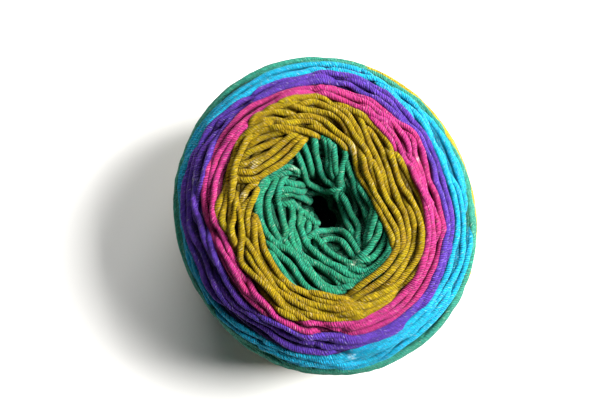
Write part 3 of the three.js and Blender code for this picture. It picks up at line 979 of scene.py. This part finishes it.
def dyed_plied_yarn():
    """Plied spun yarn, loosely twisted and dyed in long stretches.

    The plies show as fine slanting ridges across the yarn, their grooves darkened by painted shade.
    The fibres are matt with a soft sheen, take the dye a little unevenly, and a few stay nearly undyed.
    """
    material, tree, shader = new_material("dyed_plied_yarn")
    place = add(tree, "ShaderNodeUVMap", uv_map="Yarn")
    split = add(tree, "ShaderNodeSeparateXYZ", {0: place})
    along = split.outputs["X"]
    across = split.outputs["Y"]
    plain = add(tree, "ShaderNodeCombineXYZ", {0: along, 1: across})
    drift = add(tree, "ShaderNodeTexNoise", {"Vector": plain, "Scale": 0.55, "Detail": 1.0})
    wander = add(tree, "ShaderNodeMath", {0: drift, 1: 2.2}, operation="MULTIPLY")
    plies = add(tree, "ShaderNodeMath", {0: across, 1: PLIES, 2: wander}, operation="MULTIPLY_ADD")
    spacing = settings().sizes.ply_spacing
    twist = add(tree, "ShaderNodeMath", {0: along, 1: 1 / spacing, 2: plies}, operation="MULTIPLY_ADD")
    turn = add(tree, "ShaderNodeMath", {0: twist, 1: math.pi}, operation="MULTIPLY")
    wave = add(tree, "ShaderNodeMath", {0: turn}, operation="SINE")
    crest = add(tree, "ShaderNodeMath", {0: wave}, operation="ABSOLUTE")
    ridge = add(tree, "ShaderNodeMath", {0: crest, 1: 0.7}, operation="POWER")

    # Fibres lie along the plies, and looser ones along the yarn
    spun = add(tree, "ShaderNodeCombineXYZ", {0: twist, 1: across})
    grain = add(tree, "ShaderNodeVectorMath", {0: spun, 1: (1.3, 3.0, 0)}, operation="MULTIPLY")
    rough = {"Scale": 1.0, "Detail": 3.0, "Roughness": 0.6}
    fibres = add(tree, "ShaderNodeTexNoise", {"Vector": grain, **rough})
    beside = add(tree, "ShaderNodeMath", {0: across, 1: 16.0}, operation="MULTIPLY")
    slant = add(tree, "ShaderNodeMath", {0: along, 1: 1.6, 2: beside}, operation="MULTIPLY_ADD")
    short_way = add(tree, "ShaderNodeMath", {0: along, 1: 0.6}, operation="MULTIPLY")
    hairs = add(tree, "ShaderNodeCombineXYZ", {0: short_way, 1: slant})
    pale_hairs = add(tree, "ShaderNodeTexNoise", {"Vector": hairs, "Scale": 1.0, "Detail": 2.0})
    flecks = add(tree, "ShaderNodeMapRange", {"Value": pale_hairs, "From Min": 0.6, "From Max": 0.76})
    lie = add(tree, "ShaderNodeVectorMath", {0: plain, 1: (0.42, 7.0, 0)}, operation="MULTIPLY")
    streaks = add(tree, "ShaderNodeTexNoise", {"Vector": lie, "Scale": 1.0, "Detail": 2.0})
    fuzz = add(tree, "ShaderNodeTexNoise", {"Vector": grain, "Scale": 1.6, "Detail": 2.0})

    # The dye takes more or less strongly over a centimetre or so, and from ply to ply
    mottle = add(tree, "ShaderNodeTexNoise", {"Vector": plain, "Scale": 0.11, "Detail": 2.0})
    each = add(tree, "ShaderNodeMath", {0: twist}, operation="FLOOR")
    luck = add(tree, "ShaderNodeTexWhiteNoise", {"W": each}, noise_dimensions="1D")
    # A strand's tone, varied at random, and on the inner turns painted shade
    shade = add(tree, "ShaderNodeAttribute", attribute_name="shade").outputs["Fac"]
    # What darkens or lightens the dye: where it is read, its least and most, and the depths for these
    depths = (
        (mottle, 0.3, 0.7, 0.84, 1.1),
        (luck, 0.0, 1.0, 0.88, 1.12),
        (streaks, 0.3, 0.7, 0.76, 1.2),
        (fuzz, 0.32, 0.68, 0.74, 1.26),
        # Painted shade: the dye is darker in the grooves between the plies
        (ridge, 0.0, 1.0, 0.66, 1.1),
    )
    parts = []
    for read, least, most, dark, light in depths:
        ends = {"From Min": least, "From Max": most, "To Min": dark, "To Max": light}
        parts.append(add(tree, "ShaderNodeMapRange", {"Value": read, **ends}))
    inputs = {0: shade, 1: SHADE_SHARE, 2: parts[0]}
    depth = add(tree, "ShaderNodeMath", inputs, operation="MULTIPLY_ADD")
    for part in parts[1:]:
        depth = add(tree, "ShaderNodeMath", {0: depth, 1: part}, operation="MULTIPLY")

    warmth = add(tree, "ShaderNodeMapRange", {"Value": mottle, "To Min": 0.47, "To Max": 0.53})
    tinted = add(tree, "ShaderNodeHueSaturation", {"Color": dye_ramp(tree), "Hue": warmth})
    dyed = add(tree, "ShaderNodeVectorMath", {0: tinted, "Scale": depth}, operation="SCALE")

    # The pale of the slubs is drawn out in streaks along the yarn
    pale = add(tree, "ShaderNodeAttribute", attribute_name="pale").outputs["Fac"]
    ends = {"From Min": 0.44, "From Max": 0.64, "To Max": 0.4}
    pale_streak = add(tree, "ShaderNodeMapRange", {"Value": streaks, **ends})
    fleck = add(tree, "ShaderNodeMath", {0: flecks, 1: FLECK_SHARE}, operation="MULTIPLY")
    inputs = {0: pale, 1: pale_streak, 2: fleck}
    undyed = add(tree, "ShaderNodeMath", inputs, operation="MULTIPLY_ADD", use_clamp=True)
    inputs = {0: undyed, 6: dyed, 7: settings().colours.undyed}
    base = add(tree, "ShaderNodeMix", inputs, data_type="RGBA")
    tree.links.new(base.outputs[2], shader.inputs["Base Color"])

    relief = add(tree, "ShaderNodeMath", {0: fibres, 1: 0.45, 2: ridge}, operation="MULTIPLY_ADD")
    bump = add(tree, "ShaderNodeBump", {"Height": relief, "Strength": 1.0, "Distance": 0.32 * MM})
    tree.links.new(bump.outputs[0], shader.inputs["Normal"])
    shader.inputs["Roughness"].default_value = 0.82
    shader.inputs["Specular IOR Level"].default_value = 0.12
    shader.inputs["Sheen Weight"].default_value = 0.03
    shader.inputs["Sheen Roughness"].default_value = 0.45
    return material


def inner_yarn():
    """The turns under the outer ones, seen only between them, their dye darkened with painted shade."""
    material, tree, shader = new_material("inner_yarn")
    place = add(tree, "ShaderNodeTexCoord").outputs["Object"]
    turns = add(
        tree,
        "ShaderNodeTexWave",
        {"Vector": place, "Scale": 55.0, "Distortion": 1.5, "Detail": 2.0},
        wave_type="BANDS",
        bands_direction="Z",
    ).outputs["Fac"]
    # Painted shade: the dye is darkened to stand for the shade deep between the turns
    painted_shade = add(tree, "ShaderNodeMapRange", {"Value": turns, "To Min": 0.12, "To Max": 0.4})
    dark = add(tree, "ShaderNodeVectorMath", {0: dye_ramp(tree), "Scale": painted_shade}, operation="SCALE")
    tree.links.new(dark.outputs[0], shader.inputs["Base Color"])
    bump = add(tree, "ShaderNodeBump", {"Height": turns, "Strength": 0.8, "Distance": 0.8 * MM})
    tree.links.new(bump.outputs[0], shader.inputs["Normal"])
    shader.inputs["Roughness"].default_value = 0.95
    return material


def painted_boards():
    """Pale satin paint on the table under the cake."""
    material, tree, shader = new_material("painted_boards")
    shader.inputs["Base Color"].default_value = settings().colours.table
    shader.inputs["Roughness"].default_value = 0.6
    return material


# Operators


class YARNCAKE_OT_core(bpy.types.Operator):
    """Reads the form and makes the core of inner turns"""

    bl_idname = "yarncake.core"
    bl_label = "Wind the core"

    def execute(self, context):
        sizes = settings().sizes
        form = WoundForm()
        state["pile"] = Pile(form, sizes.core_depth, sizes.diameter / 2 * sizes.squeeze)
        state["yarn"] = dyed_plied_yarn()
        core = place_piece("core_turns", core_mesh(form, sizes.core_depth))
        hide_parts(NODE)
        return {"FINISHED"}


class YARNCAKE_OT_under_turns(bpy.types.Operator):
    """Winds the turns that show through the gaps, and the underside"""

    bl_idname = "yarncake.under_turns"
    bl_label = "Wind the lower turns"

    def execute(self, context):
        low = []
        for layer in TOP_LAYERS:
            low += inner_coils(state["pile"], HOLE_FOOT, SHOULDER, *layer)
        strand_mesh("top_lower_turns", low)
        strand_mesh("underside_turns", end_arcs(state["pile"], -settings().sizes.diameter / 2))
        return {"FINISHED"}


class YARNCAKE_OT_top_turns(bpy.types.Operator):
    """Winds the turns that show on the top, one piece for each dye"""

    bl_idname = "yarncake.top_turns"
    bl_label = "Wind the top"

    def execute(self, context):
        pieces = (
            ("top_green_turns", GREEN, GREEN_TURNS),
            ("top_mustard_turns", OLIVE, MUSTARD_TURNS),
            ("top_magenta_turns", MAGENTA, MAGENTA_TURNS),
            ("top_violet_turns", PURPLE, VIOLET_TURNS),
            ("top_turquoise_turns", CYAN, TURQUOISE_TURNS),
        )
        for name, dye, turns in pieces:
            strand_mesh(name, top_strands(state["pile"], dye, turns))
        return {"FINISHED"}


class YARNCAKE_OT_side_turns(bpy.types.Operator):
    """Winds the slanting loops round the side"""

    bl_idname = "yarncake.side_turns"
    bl_label = "Wind the side"

    def execute(self, context):
        strands = side_strands(state["pile"])
        half = len(strands) // 2
        strand_mesh("side_first_loops", strands[:half])
        strand_mesh("side_last_loops", strands[half:])
        return {"FINISHED"}


# Camera: almost straight above, with the ring centre on its place in the photo
CAMERA_PLACE = (-11.3, -64.2, 429.7)
CAMERA_AIM = (-11.3, -4.3, 89.9)
FOCAL_LENGTH = 50
SENSOR_WIDTH = 36
NEAREST = 10  # nothing nearer to the camera shows
# Lights: place, size and power in watts
WINDOW = ((870, 130, 890), 620, 49.0)
ROOM = ((100, 950, 800), 1000, 12.0)
SKY_STRENGTH = 0.09
TABLE_HALF = 2500


class YARNCAKE_OT_stage(bpy.types.Operator):
    """Makes the table, the soft window light and the camera"""

    bl_idname = "yarncake.stage"
    bl_label = "Set the stage"

    def execute(self, context):
        scene = context.scene
        scene.view_settings.view_transform = "Standard"
        shape = bmesh.new()
        bmesh.ops.create_grid(shape, x_segments=1, y_segments=1, size=TABLE_HALF * MM)
        mesh = bpy.data.meshes.new("table")
        shape.to_mesh(mesh)
        shape.free()
        mesh.materials.append(painted_boards())
        table = bpy.data.objects.new("table", mesh)
        scene.collection.objects.link(table)
        add_area_light(scene, "window", *WINDOW)
        add_area_light(scene, "room", *ROOM)
        world = bpy.data.worlds.new("room")
        world.use_nodes = True
        sky = world.node_tree.nodes["Background"]
        sky.inputs["Color"].default_value = linear("e9eef5")
        sky.inputs["Strength"].default_value = SKY_STRENGTH
        scene.world = world
        lens = bpy.data.cameras.new("camera")
        lens.lens = FOCAL_LENGTH
        lens.sensor_width = SENSOR_WIDTH
        lens.clip_start = NEAREST * MM
        scene.camera = put_and_aim(scene, lens, CAMERA_PLACE, CAMERA_AIM)
        return {"FINISHED"}


def put_and_aim(scene, camera_or_lamp, place, target):
    """An object for a camera or a light, at its place and turned towards its target."""
    made = bpy.data.objects.new(camera_or_lamp.name, camera_or_lamp)
    made.location = Vector(place) * MM
    aim = (Vector(target) - Vector(place)).normalized()
    made.rotation_euler = aim.to_track_quat("-Z", "Y").to_euler()
    scene.collection.objects.link(made)
    return made


def add_area_light(scene, name, place, size, power):
    """A square soft light that points at the middle of the cake."""
    lamp = bpy.data.lights.new(name, "AREA")
    lamp.shape = "SQUARE"
    lamp.size = size * MM
    lamp.energy = power
    put_and_aim(scene, lamp, place, (0, 0, CAKE_HEIGHT / 2))


OPERATORS = (
    YARNCAKE_OT_core,
    YARNCAKE_OT_under_turns,
    YARNCAKE_OT_top_turns,
    YARNCAKE_OT_side_turns,
    YARNCAKE_OT_stage,
)


class YARNCAKE_PT_panel(bpy.types.Panel):
    """Lists the steps of winding the cake"""

    bl_label = "Yarn cake"
    bl_idname = "YARNCAKE_PT_panel"
    bl_space_type = "VIEW_3D"
    bl_region_type = "UI"
    bl_category = "Yarn cake"

    def draw(self, context):
        chosen = settings()
        for group in (chosen.sizes, chosen.colours):
            for label in group.__annotations__:
                self.layout.prop(group, label)
        for operator in OPERATORS:
            self.layout.operator(operator.bl_idname)


CLASSES = (YarnSizes, YarnColours, YarnCakeSettings, *OPERATORS, YARNCAKE_PT_panel)


def register():
    for cls in CLASSES:
        bpy.utils.register_class(cls)
    bpy.types.Scene.yarn_cake = PointerProperty(type=YarnCakeSettings)


def unregister():
    del bpy.types.Scene.yarn_cake
    for cls in reversed(CLASSES):
        bpy.utils.unregister_class(cls)


def main():
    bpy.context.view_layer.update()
    register()
    bpy.ops.yarncake.core()
    bpy.ops.yarncake.under_turns()
    bpy.ops.yarncake.top_turns()
    bpy.ops.yarncake.side_turns()
    bpy.ops.yarncake.stage()


if __name__ == "__main__":
    main()
